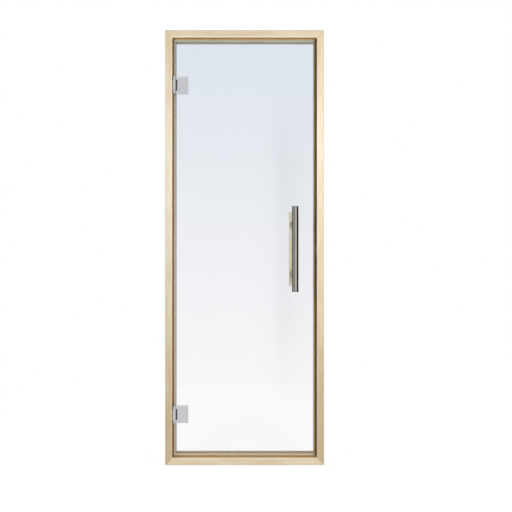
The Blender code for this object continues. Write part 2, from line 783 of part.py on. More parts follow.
def build_inner_post(carrier, place, height):
    washer_front = GLASS_BACK + SEAT_GAP
    post_front = washer_front + WASHER_THICKNESS + SEAT_GAP
    length = BAR_FRONT - SEAT_GAP - post_front
    mesh = turned("inner_post", rod_profile(INNER_POST_RADIUS, -length, 0.0), ROUND_SEGMENTS, "Y")
    post = add_object("inner_handle_post_" + place, mesh, steel(), smooth=True)
    hang(carrier, post, (HANDLE_X, post_front, height))
    boolean(post, stud_bore("inner_stud_bore_" + place, post_front, height))
    washer = turned(
        "inner_washer",
        ring_profile(STUD_RADIUS + SEAT_GAP, INNER_WASHER_RADIUS, -WASHER_THICKNESS, 0.0),
        ROUND_SEGMENTS,
        "Y",
    )
    made = add_object("inner_handle_washer_" + place, washer, clear_nylon(), smooth=True)
    hang(carrier, made, (HANDLE_X, washer_front, height))


def build_stud(carrier, place, height):
    """The threaded rod that ties an outside post to an inside post through the glass."""
    seat_front = GLASS_FRONT - 2 * SEAT_GAP - WASHER_THICKNESS
    seat_back = GLASS_BACK + 2 * SEAT_GAP + WASHER_THICKNESS
    middle = (seat_front + seat_back) / 2
    half = (seat_back - seat_front) / 2 + STUD_ENGAGEMENT
    mesh = turned("stud", rod_profile(STUD_RADIUS, -half, half, PIN_CHAMFER), ROUND_SEGMENTS, "Y")
    stud = add_object("handle_stud_" + place, mesh, steel(), smooth=True)
    hang(carrier, stud, (HANDLE_X, middle, height))


def build_inner_bar(carrier):
    half_width = BAR_WIDTH / 2
    half_thickness = BAR_THICKNESS / 2
    outline = box_outline(-half_width, half_width, -half_thickness, half_thickness, BAR_EDGE_RADIUS)
    mesh = prism("inner_handle_bar", outline, -BAR_LENGTH / 2, BAR_LENGTH / 2)
    bm = bmesh.new()
    bm.from_mesh(mesh)
    rims = [edge for edge in bm.edges if abs(edge.verts[0].co.z - edge.verts[1].co.z) < BAR_END_ROUND]
    bmesh.ops.bevel(bm, geom=rims, offset=BAR_END_ROUND, segments=2, profile=0.5, affect="EDGES")
    bm.to_mesh(mesh)
    bm.free()
    bar = add_object("inner_handle_bar", mesh, timber(), smooth=True)
    hang(carrier, bar, (HANDLE_X, BAR_FRONT + half_thickness, HANDLE_CENTRE_HEIGHT))


def catch_front():
    """Front edge of the catch's face plate, just behind the jamb's rounded arris."""
    return FRONT + FACE_ARRIS_RADIUS + 2 * SEAT_GAP


def catch_outlines(margin):
    """Outlines of the catch's plate and of its body, as (y, z) about the catch's height."""
    front = catch_front()
    plate = box_outline(
        front - margin,
        front + CATCH_PLATE_DEPTH + margin,
        -CATCH_PLATE_HEIGHT / 2 - margin,
        CATCH_PLATE_HEIGHT / 2 + margin,
        CATCH_PLATE_CORNER + margin,
    )
    middle = front + CATCH_PLATE_DEPTH / 2
    body = box_outline(
        middle - CATCH_BODY_DEPTH / 2 - margin,
        middle + CATCH_BODY_DEPTH / 2 + margin,
        -CATCH_BODY_HEIGHT / 2 - margin,
        CATCH_BODY_HEIGHT / 2 + margin,
    )
    return plate, body


def catch_mortise():
    """The pocket in the strike jamb: a shallow seat for the plate and a deep one for the body."""
    plate, body = catch_outlines(SEAT_GAP)
    inner = STRIKE_REBATE_X - CATCH_PLATE_THICKNESS
    seat = STRIKE_REBATE_X + CATCH_PLATE_THICKNESS + SEAT_GAP
    floor = STRIKE_REBATE_X + CATCH_BODY_LENGTH + SEAT_GAP
    place = (0, 0, CATCH_HEIGHT)
    pocket = as_cutter("catch_seat", prism("catch_seat", plate, inner, seat, along="X"), place)
    deep = as_cutter("catch_pocket", prism("catch_pocket", body, inner, floor, along="X"), place)
    boolean(pocket, deep, "UNION")
    return pocket


def build_catch():
    plate, body = catch_outlines(0.0)
    plate_end = STRIKE_REBATE_X + CATCH_PLATE_THICKNESS
    plate_mesh = prism("catch_body", plate, STRIKE_REBATE_X, plate_end, along="X")
    made = add_object("catch_body", plate_mesh, satin_metal(), smooth=True)
    made.location = (0, 0, CATCH_HEIGHT)
    body_low = STRIKE_REBATE_X + CATCH_PLATE_THICKNESS / 2
    body_mesh = prism("catch_block", body, body_low, STRIKE_REBATE_X + CATCH_BODY_LENGTH, along="X")
    boolean(made, as_cutter("catch_block", body_mesh, (0, 0, CATCH_HEIGHT)), "UNION")
    middle = catch_front() + CATCH_PLATE_DEPTH / 2
    for sign in (-1, 1):
        spot = (STRIKE_REBATE_X, middle, CATCH_HEIGHT + sign * CATCH_SCREW_SPACING / 2)
        cutter_name = "catch_screw_top" if sign > 0 else "catch_screw_bottom"
        cutter = countersink(cutter_name, spot, CATCH_SCREW_HEAD_RADIUS, CATCH_SCREW_SHANK_RADIUS, "X", -1)
        boolean(made, cutter)

    roller_x = STRIKE_REBATE_X + ROLLER_RADIUS - ROLLER_PROUD
    roller_y = catch_front() + ROLLER_SETBACK + ROLLER_RADIUS
    pocket_radius = ROLLER_RADIUS + SEAT_GAP
    pocket_half = ROLLER_LENGTH / 2 + SEAT_GAP
    pocket = [
        *arc_points((roller_x, roller_y), pocket_radius, -90.0, 90.0, ROUND_SEGMENTS // 2),
        (STRIKE_REBATE_X - ROLLER_PROUD, roller_y + pocket_radius),
        (STRIKE_REBATE_X - ROLLER_PROUD, roller_y - pocket_radius),
    ]
    pocket_mesh = prism("roller_pocket", pocket, -pocket_half, pocket_half)
    boolean(made, as_cutter("roller_pocket", pocket_mesh, (0, 0, CATCH_HEIGHT)))

    roller_mesh = turned(
        "catch_roller",
        rod_profile(ROLLER_RADIUS, -ROLLER_LENGTH / 2, ROLLER_LENGTH / 2, PIN_CHAMFER),
        ROUND_SEGMENTS,
    )
    roller = add_object("catch_roller", roller_mesh, clear_nylon(), smooth=True)
    roller.location = (roller_x, roller_y, CATCH_HEIGHT)


def build_door():
    clear_scene()
    build_frame()
    build_seals()
    carrier = leaf_axis()
    build_glass(carrier)
    for place, height in HINGE_HEIGHTS.items():
        build_hinge(carrier, place, height)
    build_outer_handle(carrier)
    build_inner_bar(carrier)
    for place, height in STUD_HEIGHTS.items():
        build_outer_post(carrier, place, height)
        build_inner_post(carrier, place, height)
        build_stud(carrier, place, height)
    build_catch()


build_door()
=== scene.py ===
import math

import bmesh
import bpy
from mathutils import Matrix, Vector

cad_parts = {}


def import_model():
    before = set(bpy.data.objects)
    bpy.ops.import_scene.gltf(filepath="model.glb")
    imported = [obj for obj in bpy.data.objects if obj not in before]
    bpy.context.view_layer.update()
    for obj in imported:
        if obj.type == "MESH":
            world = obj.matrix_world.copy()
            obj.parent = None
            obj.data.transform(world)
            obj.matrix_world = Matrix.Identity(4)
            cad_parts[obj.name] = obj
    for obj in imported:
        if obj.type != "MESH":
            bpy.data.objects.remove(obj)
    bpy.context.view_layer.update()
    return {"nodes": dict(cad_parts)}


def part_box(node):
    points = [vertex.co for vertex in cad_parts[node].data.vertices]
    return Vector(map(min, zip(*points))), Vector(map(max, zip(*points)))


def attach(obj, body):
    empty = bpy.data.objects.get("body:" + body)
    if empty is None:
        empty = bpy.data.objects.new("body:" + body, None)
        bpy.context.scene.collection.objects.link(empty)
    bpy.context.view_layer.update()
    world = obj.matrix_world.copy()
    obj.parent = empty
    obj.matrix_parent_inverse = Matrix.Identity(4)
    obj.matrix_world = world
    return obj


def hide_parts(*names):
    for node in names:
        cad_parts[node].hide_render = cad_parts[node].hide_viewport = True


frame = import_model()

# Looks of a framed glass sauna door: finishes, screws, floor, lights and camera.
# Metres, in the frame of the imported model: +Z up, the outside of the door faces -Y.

WHITE = (1.0, 1.0, 1.0, 1.0)

# Which way a mapping turns the grain, whose own length runs along Z
ALONG_Z = (0.0, 0.0, 0.0)
ALONG_X = (0.0, math.radians(90), 0.0)

# Timber figure: the growth rings' spacing, how far they wander and ripple, the place of the pith
# behind the board, and how fine the fibres and flecks are
RING_SPACING = 0.0034
RING_WANDER = 0.012
RING_RIPPLE = 0.001
PITH = (0.05, 0.09, 0.0)
FIBRE_SCALE = 900.0
FLECK_SCALE = 1300.0

# Timber colours, as the photograph's 0 to 255 values
PALE_WOOD = (246, 233, 212)
HONEY_WOOD = (235, 217, 188)
ROSY_WOOD = (234, 209, 182)
LATE_WOOD = (218, 194, 158)
FLECK = (190, 158, 118)
BLUSH_SHARE = 0.55
RING_SHARE = 0.42
FLECK_SHARE = 0.35
TIMBER_SPECULAR = 0.35
# A painted highlight along the face's inner arris, and painted shade along its outer edge
ARRIS_HIGHLIGHT = (0.94, 0.86, 0.71, 1.0)
ARRIS_HIGHLIGHT_SHARE = 0.7
OUTER_EDGE_SHADE = (0.72, 0.72, 0.74, 1.0)

# Painted shade on the jambs' timber, darker and warmer towards both ends and most at the foot:
# share of the height, and colour
JAMB_END_SHADE = (
    (0.04, (0.786, 0.73, 0.605)),
    (0.26, (0.834, 0.81, 0.71)),
    (0.50, (0.871, 0.881, 0.88)),
    (0.74, (0.94, 0.975, 1.008)),
    (0.97, (0.936, 0.905, 0.839)),
)

# The glass's colour from its foot to its top, a painted reflection that is bluer and darker towards
# the top, and what the glass leaves of the lamps' light
GLASS_PAINTED_REFLECTION = (
    (0.03, (0.95, 0.935, 0.94)),
    (0.25, (0.915, 0.915, 0.93)),
    (0.49, (0.855, 0.865, 0.90)),
    (0.73, (0.785, 0.818, 0.867)),
    (0.97, (0.72, 0.775, 0.84)),
)
GLASS_SHADOW = (0.86, 0.88, 0.90, 1.0)

# Metals: darkest and lightest colour as 0 to 255 values, range of roughness, scale of the brushed
# lines, and strength of their relief
METALS = {
    "satin_chrome_plate": ((204, 205, 209), (220, 221, 225), (0.3, 0.42), 3200.0, 0.12),
    "brushed_steel_tube": ((172, 168, 161), (194, 190, 184), (0.06, 0.13), 2200.0, 0.05),
    "post_steel": ((72, 68, 60), (94, 90, 80), (0.2, 0.32), 2200.0, 0.06),
    "screw_steel": ((168, 168, 170), (186, 186, 188), (0.25, 0.35), 1500.0, 0.1),
    "polished_hinge_leaf": ((218, 218, 223), (230, 230, 235), (0.45, 0.6), 3200.0, 0.08),
}
# Painted shade on the hinge leaf's flat against the jamb
LEAF_SHADE = (128, 125, 118)

# Light that comes from all round, and the lamps: name, place, target, size and power
AMBIENT = 0.36
LAMPS = (
    ("right_lamp", (0.95, -1.0, 1.38), (0.1, 0.0, 1.2), (0.35, 0.7), 11.2),
    ("left_lamp", (-0.95, -1.0, 1.34), (-0.1, 0.0, 1.15), (0.35, 0.7), 8.6),
    ("back_lamp", (-1.0, 2.4, 1.7), (0.0, 0.0, 1.0), (1.6, 1.6), 29.0),
    ("side_lamp_left", (-2.6, 0.1, 1.3), (0.0, 0.1, 0.95), (1.0, 1.6), 14.0),
    ("side_lamp_right", (2.6, 0.1, 1.3), (0.0, 0.1, 0.95), (1.0, 1.6), 14.0),
    ("top_lamp", (0.0, 0.1, 3.3), (0.0, 0.0, 1.9), (1.6, 0.8), 5.0),
    ("low_lamp", (0.0, -1.7, 0.3), (0.0, 0.0, 0.2), (1.4, 0.3), 3.6),
)

# The studio as gloss sees it: degrees from straight ahead of the door, and brightness
FLANKS = (
    (-180, 0.9),
    (-166, 0.9),
    (-154, 0.1),
    (-98, 0.0),
    (-80, 0.02),
    (-73, 0.9),
    (-50, 1.0),
    (-37, 0.12),
    (-19, 0.12),
    (-12, 1.0),
    (30, 0.98),
    (38, 0.9),
    (50, 0.74),
    (54, 0.0),
    (100, 0.0),
    (154, 0.1),
    (166, 0.9),
    (180, 0.9),
)
STAND = (
    (-180, 1.0),
    (1.1, 1.0),
    (1.6, 0.65),
    (2.1, 0.0),
    (3.5, 0.0),
    (4.4, 0.55),
    (6.5, 0.75),
    (8, 1.0),
    (180, 1.0),
)

# Sines of the steepness at which each part starts to fade into white, and at which it is gone
FLANKS_FADE = (0.14, 0.40)
STAND_FADE = (0.13, 0.28)

# The points from which the floor shows each part: in the middle of the door, and well behind it
FLANKS_ORIGIN = (0.0, 0.0, 0.945)
STAND_ORIGIN = (0.05, 2.5, 0.945)

# Floor: its size and colour, the distances between which it fades into the background, and the
# background's share and extra brightness at the door
FLOOR_RADIUS = 6.0
FLOOR_SEGMENTS = 96
FLOOR_DROP = 0.0005
FLOOR_COLOUR = (0.70, 0.70, 0.70, 1.0)
FLOOR_FADE = (0.5, 1.6)
NEAR_SHARE = 0.58
NEAR_LIFT = 0.28

# The frame: half its width and height, how far in from its outer edge the rebate and the reveal
# start, and where on Y its front face and its stop lie
FRAME_HALF = (0.345, 0.945)
REBATE_IN = 0.0305
REVEAL_IN = 0.042
FACE_Y = -0.031
STOP_Y = -0.006

# Where on X the hinge leaf lies flat against the jamb, and how deep the painted shade of that flat
# goes
LEAF_FACE_X = -0.312
LEAF_FACE_EDGE = 0.0004

# Where each mask of the frame starts and where it is full, as places on Y or depths in
BEFORE_STOP = (STOP_Y + 0.0008, STOP_Y - 0.0002)
BEHIND_FACE = (FACE_Y + 0.0005, FACE_Y + 0.0035)
ON_FACE = (FACE_Y + 0.004, FACE_Y + 0.0028)
REBATE_START = (REBATE_IN - 0.0004, REBATE_IN - 0.0001)
WALL_END = (REBATE_IN + 0.0012, REBATE_IN + 0.0002)
ARRIS_START = (REBATE_IN - 0.0052, REBATE_IN - 0.0022)
OUTER_EDGE_END = (0.0032, 0.0012)
REVEAL_START = (REVEAL_IN - 0.0014, REVEAL_IN - 0.0004)

# The photograph's camera: level, straight in front, with the door left of the middle
PHOTO_SIDE = 512
SENSOR = 36.0
CAMERA_DISTANCE = 2.535
METRES_PER_PIXEL = 0.004346
DOOR_CENTRE = (244.55, 247.6)

# Screws: spacing, radius, and how far the faces lie below the metal round them
CLAMP_SCREW_SPACING = 0.018
CLAMP_SCREW_RADIUS = 0.0046
CLAMP_SCREW_INSET = 0.0302
CLAMP_SCREW_SUNK = 0.0002
LEAF_SCREW_SPACING = 0.061
LEAF_SCREW_RADIUS = 0.0034
LEAF_SCREW_SETBACK = 0.0095
CATCH_SCREW_SPACING = 0.043
CATCH_SCREW_RADIUS = 0.0026
FLAT_SCREW_SUNK = 0.0001
JAMB_LEAF_THICKNESS = 0.0025

# A screw head's shape, as shares of its radius; its rings give a radius and a drop each
SCREW_SEGMENTS = 36
SCREW_FACE = 0.96
SCREW_FACE_WIDTH = 0.45
SOCKET_RADIUS = 0.48
SOCKET_DEPTH = 0.5
STAR_WAVE = 0.12
HEAD_RINGS = ((1.0, 0.05), (0.55, 0.46))

# Sharp edges of metal are eased by this much, where they turn by more than the sharp angle
METAL_EDGE = 0.0003
LEAF_EDGE = 0.0002
CATCH_EDGE = 0.00015
SHARP_ANGLE = math.radians(19)
MERGE_DISTANCE = 0.00001
FLAT_ANGLE = math.radians(0.5)


def photo_colour(red, green, blue):
    """A colour as the photograph's 0 to 255 values, made linear."""
    values = []
    for value in (red, green, blue):
        share = value / 255
        values.append(share / 12.92 if share <= 0.04045 else ((share + 0.055) / 1.055) ** 2.4)
    return (*values, 1.0)


def add_node(tree, kind, inputs=(), **settings):
    """A shader node with its settings, and its inputs by name or number as values or links."""
    made = tree.nodes.new("ShaderNode" + kind)
    for key, value in settings.items():
        setattr(made, key, value)
    for key, value in dict(inputs).items():
        if isinstance(value, bpy.types.NodeSocket):
            tree.links.new(value, made.inputs[key])
        else:
            made.inputs[key].default_value = value
    return made


def maths(tree, operation, first, second=0.0, third=0.0):
    return add_node(tree, "Math", {0: first, 1: second, 2: third}, operation=operation).outputs[0]


def remap(tree, value, start, end, low=0.0, high=1.0):
    """A value's way from start to end, as a number from low to high."""
    inputs = {"Value": value, "From Min": start, "From Max": end, "To Min": low, "To Max": high}
    return add_node(tree, "MapRange", inputs).outputs[0]


def mix_colours(tree, factor, first, second, blend="MIX"):
    inputs = {0: factor, 6: first, 7: second}
    return add_node(tree, "Mix", inputs, data_type="RGBA", blend_type=blend).outputs[2]


def stretched(tree, vector, share):
    """A pattern's vector that makes it long along Z: the share is what is left of Z."""
    return add_node(tree, "Mapping", {"Vector": vector, "Scale": (1.0, 1.0, share)}).outputs[0]


def colour_ramp(tree, value, stops):
    """A ramp through its stops, each a position and a colour."""
    made = add_node(tree, "ValToRGB", {0: value})
    elements = made.color_ramp.elements
    for index in (0, -1):
        position, colour = stops[index]
        elements[index].position = position
        elements[index].color = (*colour, 1.0)
    for position, colour in stops[1:-1]:
        elements.new(position).color = (*colour, 1.0)
    return made.outputs[0]


def new_group(name, inputs, outputs):
    """An empty node group with named sockets; returns it with its input and output sockets."""
    group = bpy.data.node_groups.new(name, "ShaderNodeTree")
    for label, kind, value in inputs:
        socket = group.interface.new_socket(label, in_out="INPUT", socket_type=kind)
        if value is not None:
            socket.default_value = value
    for label, kind in outputs:
        group.interface.new_socket(label, in_out="OUTPUT", socket_type=kind)
    given = group.nodes.new("NodeGroupInput").outputs
    return group, given, group.nodes.new("NodeGroupOutput").inputs


def timber_figure():
    """Growth rings, fibres and soft patches of a board whose length runs along Z."""
    group, given, result = new_group(
        "timber_figure",
        [
            ("Vector", "NodeSocketVector", None),
            ("Ring Spacing", "NodeSocketFloat", RING_SPACING),
            ("Fibre Scale", "NodeSocketFloat", FIBRE_SCALE),
        ],
        [
            ("Rings", "NodeSocketFloat"),
            ("Fibres", "NodeSocketFloat"),
            ("Patches", "NodeSocketFloat"),
            ("Flecks", "NodeSocketFloat"),
            ("Height", "NodeSocketFloat"),
        ],
    )
    place = given["Vector"]
    slow = stretched(group, place, 0.22)
    wander = add_node(group, "TexNoise", {"Vector": slow, "Scale": 7.0, "Detail": 2.0})
    ripple = add_node(group, "TexNoise", {"Vector": slow, "Scale": 60.0, "Detail": 2.0})
    shift = maths(group, "MULTIPLY", wander.outputs[0], RING_WANDER)
    shift = maths(group, "MULTIPLY_ADD", ripple.outputs[0], RING_RIPPLE, shift)
    level = {0: place, 1: (1.0, 1.0, 0.0)}
    flat = add_node(group, "VectorMath", level, operation="MULTIPLY").outputs[0]
    radius = add_node(group, "VectorMath", {0: flat, 1: PITH}, operation="DISTANCE")
    reach = maths(group, "ADD", radius.outputs["Value"], shift)
    turns = maths(group, "DIVIDE", reach, given["Ring Spacing"])
    growth = maths(group, "FRACT", turns)
    late = maths(group, "POWER", growth, 3.0)
    early = maths(group, "SUBTRACT", 1.0, maths(group, "MULTIPLY", growth, 6.0))
    rings = maths(group, "MAXIMUM", late, maths(group, "MAXIMUM", early, 0.0))
    group.links.new(rings, result["Rings"])

    fibres = add_node(group, "TexNoise", {
        "Vector": stretched(group, place, 0.015),
        "Scale": given["Fibre Scale"],
        "Detail": 4.0,
        "Roughness": 0.65,
    })
    group.links.new(fibres.outputs[0], result["Fibres"])

    patches = add_node(group, "TexNoise", {
        "Vector": stretched(group, place, 0.18),
        "Scale": 38.0,
        "Detail": 3.0,
        "Roughness": 0.55,
    })
    group.links.new(patches.outputs[0], result["Patches"])

    short = stretched(group, place, 0.07)
    specks = add_node(group, "TexNoise", {"Vector": short, "Scale": FLECK_SCALE, "Detail": 1.0})
    flecks = remap(group, specks.outputs[0], 0.66, 0.74)
    group.links.new(flecks, result["Flecks"])

    grown = maths(group, "MULTIPLY", rings, 0.25)
    height = maths(group, "MULTIPLY_ADD", fibres.outputs[0], 0.6, grown)
    height = maths(group, "SUBTRACT", height, maths(group, "MULTIPLY", flecks, 0.3))
    group.links.new(height, result["Height"])
    return group


def brushed_lines():
    """Fine lines that run along Z, as a brush or belt leaves them on metal."""
    group, given, result = new_group(
        "brushed_lines",
        [("Vector", "NodeSocketVector", None), ("Scale", "NodeSocketFloat", 2500.0)],
        [("Lines", "NodeSocketFloat"), ("Cloud", "NodeSocketFloat")],
    )
    lines = add_node(group, "TexNoise", {
        "Vector": stretched(group, given["Vector"], 0.012),
        "Scale": given["Scale"],
        "Detail": 3.0,
        "Roughness": 0.7,
    })
    group.links.new(lines.outputs[0], result["Lines"])
    cloud = add_node(group, "TexNoise", {"Vector": given["Vector"], "Scale": 70.0, "Detail": 3.0})
    group.links.new(cloud.outputs[0], result["Cloud"])
    return group


def studio_part(name, stops, fade):
    """How bright a part of the studio is in a direction, from its stops by bearing."""
    group, given, result = new_group(
        name,
        [("Vector", "NodeSocketVector", None)],
        [("Brightness", "NodeSocketColor")],
    )
    way = add_node(group, "VectorMath", {0: given["Vector"]}, operation="NORMALIZE").outputs[0]
    axes = add_node(group, "SeparateXYZ", {0: way}).outputs
    ahead = maths(group, "MULTIPLY", axes["Y"], -1.0)
    bearing = maths(group, "ARCTAN2", axes["X"], ahead)
    share = remap(group, bearing, -math.pi, math.pi)
    shares = [((degrees + 180) / 360, (bright, bright, bright)) for degrees, bright in stops]
    part = colour_ramp(group, share, shares)
    steep = remap(group, maths(group, "ABSOLUTE", axes["Z"]), *fade)
    group.links.new(mix_colours(group, steep, part, WHITE), result["Brightness"])
    return group


def rebate_masks():
    """Where a point of the frame lies: on an edge, in the rebate, on its wall, or on the reveal."""
    group, given, result = new_group(
        "rebate_masks",
        [("Vector", "NodeSocketVector", None)],
        [
            ("Arris", "NodeSocketFloat"),
            ("Outer", "NodeSocketFloat"),
            ("Rebate", "NodeSocketFloat"),
            ("Wall", "NodeSocketFloat"),
            ("Reveal", "NodeSocketFloat"),
        ],
    )
    place = add_node(group, "SeparateXYZ", {0: given["Vector"]}).outputs
    across = maths(group, "SUBTRACT", FRAME_HALF[0], maths(group, "ABSOLUTE", place["X"]))
    level = maths(group, "ABSOLUTE", maths(group, "SUBTRACT", place["Z"], FRAME_HALF[1]))
    up = maths(group, "SUBTRACT", FRAME_HALF[1], level)
    inwards = maths(group, "MINIMUM", across, up)
    before_stop = remap(group, place["Y"], *BEFORE_STOP)
    behind_face = remap(group, place["Y"], *BEHIND_FACE)
    on_face = remap(group, place["Y"], *ON_FACE)

    rebate = maths(group, "MULTIPLY", remap(group, inwards, *REBATE_START), behind_face)
    rebate = maths(group, "MULTIPLY", rebate, before_stop)
    group.links.new(rebate, result["Rebate"])
    wall = maths(group, "MULTIPLY", rebate, remap(group, inwards, *WALL_END))
    group.links.new(wall, result["Wall"])
    arris = maths(group, "MULTIPLY", remap(group, inwards, *ARRIS_START), on_face)
    group.links.new(arris, result["Arris"])
    outer = maths(group, "MULTIPLY", remap(group, inwards, *OUTER_EDGE_END), on_face)
    group.links.new(outer, result["Outer"])
    group.links.new(remap(group, inwards, *REVEAL_START), result["Reveal"])
    return group


TIMBER_FIGURE = timber_figure()
BRUSHED_LINES = brushed_lines()
STUDIO_FLANKS = studio_part("studio_flanks", FLANKS, FLANKS_FADE)
STUDIO_STAND = studio_part("studio_stand", STAND, STAND_FADE)
REBATE_MASKS = rebate_masks()


def new_material(name):
    """A material with a Principled shader; returns it, its tree and the shader."""
    made = bpy.data.materials.new(name)
    made.use_nodes = True
    return made, made.node_tree, made.node_tree.nodes["Principled BSDF"]


def piece_coordinates(tree, turn=ALONG_Z, offset=(0.0, 0.0, 0.0)):
    place = add_node(tree, "TexCoord").outputs["Object"]
    inputs = {"Vector": place, "Rotation": turn, "Location": offset}
    return add_node(tree, "Mapping", inputs).outputs[0]


def add_relief(tree, shader, height, strength, distance):
    bump = add_node(tree, "Bump", {"Strength": strength, "Distance": distance, "Height": height})
    tree.links.new(bump.outputs[0], shader.inputs["Normal"])


def timber_colour(tree, place, figure, tone):
    """Patches, a rosy drift, growth rings, fibres and flecks, in the member's tone, which is partly
    painted light.
    """
    patch = remap(tree, figure["Patches"], 0.36, 0.64)
    colour = mix_colours(tree, patch, photo_colour(*PALE_WOOD), photo_colour(*HONEY_WOOD))
    drift = add_node(tree, "TexNoise", {"Vector": stretched(tree, place, 0.3), "Scale": 16.0})
    blush = maths(tree, "MULTIPLY", remap(tree, drift.outputs[0], 0.55, 0.72), BLUSH_SHARE)
    colour = mix_colours(tree, blush, colour, photo_colour(*ROSY_WOOD))
    rings = maths(tree, "MULTIPLY", figure["Rings"], RING_SHARE)
    colour = mix_colours(tree, rings, colour, photo_colour(*LATE_WOOD))
    fibres = remap(tree, figure["Fibres"], 0.3, 0.7, 0.93, 1.05)
    colour = mix_colours(tree, 1.0, colour, fibres, "MULTIPLY")
    # The member's tone: partly its own colour, partly painted light that evens out how lit it is
    colour = mix_colours(tree, 1.0, colour, (*tone, 1.0), "MULTIPLY")
    flecks = maths(tree, "MULTIPLY", figure["Flecks"], FLECK_SHARE)
    return mix_colours(tree, flecks, colour, photo_colour(*FLECK))


def shade_edges(tree, colour, masks, rebate, wall, reveal):
    """A frame member's colour with painted shade in its rebate, on the rebate's wall, on the reveal
    and along its outer edge, and a painted highlight on its inner arris.
    """
    shade = mix_colours(tree, masks["Wall"], (*rebate, 1.0), (*wall, 1.0))
    colour = mix_colours(tree, masks["Rebate"], colour, shade, "MULTIPLY")
    colour = mix_colours(tree, masks["Reveal"], colour, (*reveal, 1.0), "MULTIPLY")
    colour = mix_colours(tree, masks["Outer"], colour, OUTER_EDGE_SHADE, "MULTIPLY")
    arris = maths(tree, "MULTIPLY", masks["Arris"], ARRIS_HIGHLIGHT_SHARE)
    return mix_colours(tree, arris, colour, ARRIS_HIGHLIGHT)


def pale_timber(name, turn, offset, tone, rebate=None, wall=None, reveal=None, end_shaded=False):
    """Planed pale timber, its grain turned along the member, in a tone per member that is partly
    its own colour and partly painted light; rebate colours add painted shade and a painted
    highlight, and end shading darkens the jambs towards both ends.
    """
    made, tree, shader = new_material(name)
    place = piece_coordinates(tree, turn, offset)
    figure = add_node(tree, "Group", {"Vector": place}, node_tree=TIMBER_FIGURE).outputs
    colour = timber_colour(tree, place, figure, tone)
    rough = remap(tree, figure["Fibres"], 0.0, 1.0, 0.48, 0.72)
    # Painted shade in the rebate, on its wall and on the reveal, and a painted highlight on the
    # arris
    if rebate:
        mapped = {"Vector": piece_coordinates(tree)}
        masks = add_node(tree, "Group", mapped, node_tree=REBATE_MASKS).outputs
        colour = shade_edges(tree, colour, masks, rebate, wall, reveal)
        rough = maths(tree, "MAXIMUM", rough, masks["Rebate"])
    # Painted shade: the jambs darker and warmer towards both ends
    if end_shaded:
        height = add_node(tree, "SeparateXYZ", {0: piece_coordinates(tree)}).outputs["Z"]
        share = remap(tree, height, 0.0, 2 * FRAME_HALF[1])
        end_shade = colour_ramp(tree, share, JAMB_END_SHADE)
        colour = mix_colours(tree, 1.0, colour, end_shade, "MULTIPLY")
    tree.links.new(colour, shader.inputs["Base Color"])
    shader.inputs["Specular IOR Level"].default_value = TIMBER_SPECULAR
    tree.links.new(rough, shader.inputs["Roughness"])
    add_relief(tree, shader, figure["Height"], 0.35, 0.0002)
    return made


def clear_glass():
    """Toughened glass with a painted reflection that makes it bluer and darker towards its top, and
    that lets the lamps through.
    """
    made, tree, shader = new_material("clear_toughened_glass")
    height = add_node(tree, "SeparateXYZ", {0: piece_coordinates(tree)}).outputs["Z"]
    low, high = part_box("glass_pane")
    # Painted reflection: the glass bluer and darker towards its top
    painted_reflection = colour_ramp(tree, remap(tree, height, low.z, high.z), GLASS_PAINTED_REFLECTION)
    tree.links.new(painted_reflection, shader.inputs["Base Color"])
    shader.inputs["Roughness"].default_value = 0.0
    shader.inputs["IOR"].default_value = 1.5
    shader.inputs["Transmission Weight"].default_value = 1.0
    clear = add_node(tree, "BsdfTransparent", {"Color": GLASS_SHADOW})
    lamp_ray = add_node(tree, "LightPath").outputs["Is Shadow Ray"]
    shown = add_node(tree, "MixShader", {0: lamp_ray, 1: shader.outputs[0], 2: clear.outputs[0]})
    tree.links.new(shown.outputs[0], tree.nodes["Material Output"].inputs["Surface"])
    return made


def cloudy(name, dark, light, scale, detail, rough, relief=0.0):
    """A plain stuff that clouds between two 0 to 255 colours and two roughnesses."""
    made, tree, shader = new_material(name)
    mapped = {"Vector": piece_coordinates(tree), "Scale": scale, "Detail": detail}
    cloud = add_node(tree, "TexNoise", mapped).outputs[0]
    colour = mix_colours(tree, cloud, photo_colour(*dark), photo_colour(*light))
    tree.links.new(colour, shader.inputs["Base Color"])
    tree.links.new(remap(tree, cloud, 0.0, 1.0, *rough), shader.inputs["Roughness"])
    if relief:
        add_relief(tree, shader, cloud, relief, 0.0001)
    return made, shader


def silicone(name, dark, light):
    """Milky silicone with a slight skin, between two given colours; a darker pair is painted shade
    of the rebate that it sits in.
    """
    made, shader = cloudy(name, dark, light, 400.0, 3.0, (0.32, 0.5), 0.2)
    shader.inputs["IOR"].default_value = 1.41
    return made


def gasket_rubber():
    """Black gasket sheet with a fine matt grain."""
    made, _ = cloudy(
        "black_gasket_sheet", (64, 65, 70), (88, 89, 94), 2600.0, 2.0, (0.6, 0.85), 0.3
    )
    return made


def nylon():
    """Translucent nylon, as of washers and the catch's roller."""
    made, shader = cloudy(
        "milky_nylon", (214, 212, 204), (232, 230, 224), 300.0, 2.0, (0.3, 0.45)
    )
    shader.inputs["Transmission Weight"].default_value = 0.3
    shader.inputs["IOR"].default_value = 1.53
    return made


def metal(name):
    """Metal with upright brushed lines in its colour, gloss and relief."""
    dark, light, rough, line_scale, relief = METALS[name]
    made, tree, shader = new_material(name)
    mapped = {"Vector": piece_coordinates(tree), "Scale": line_scale}
    brushed = add_node(tree, "Group", mapped, node_tree=BRUSHED_LINES).outputs
    colour = mix_colours(tree, brushed["Lines"], photo_colour(*dark), photo_colour(*light))
    tree.links.new(colour, shader.inputs["Base Color"])
    mixed = maths(tree, "MULTIPLY", brushed["Cloud"], 0.5)
    mixed = maths(tree, "MULTIPLY_ADD", brushed["Lines"], 0.5, mixed)
    tree.links.new(remap(tree, mixed, 0.3, 0.7, *rough), shader.inputs["Roughness"])
    add_relief(tree, shader, brushed["Lines"], relief, 0.0001)
    shader.inputs["Metallic"].default_value = 1.0
    return made


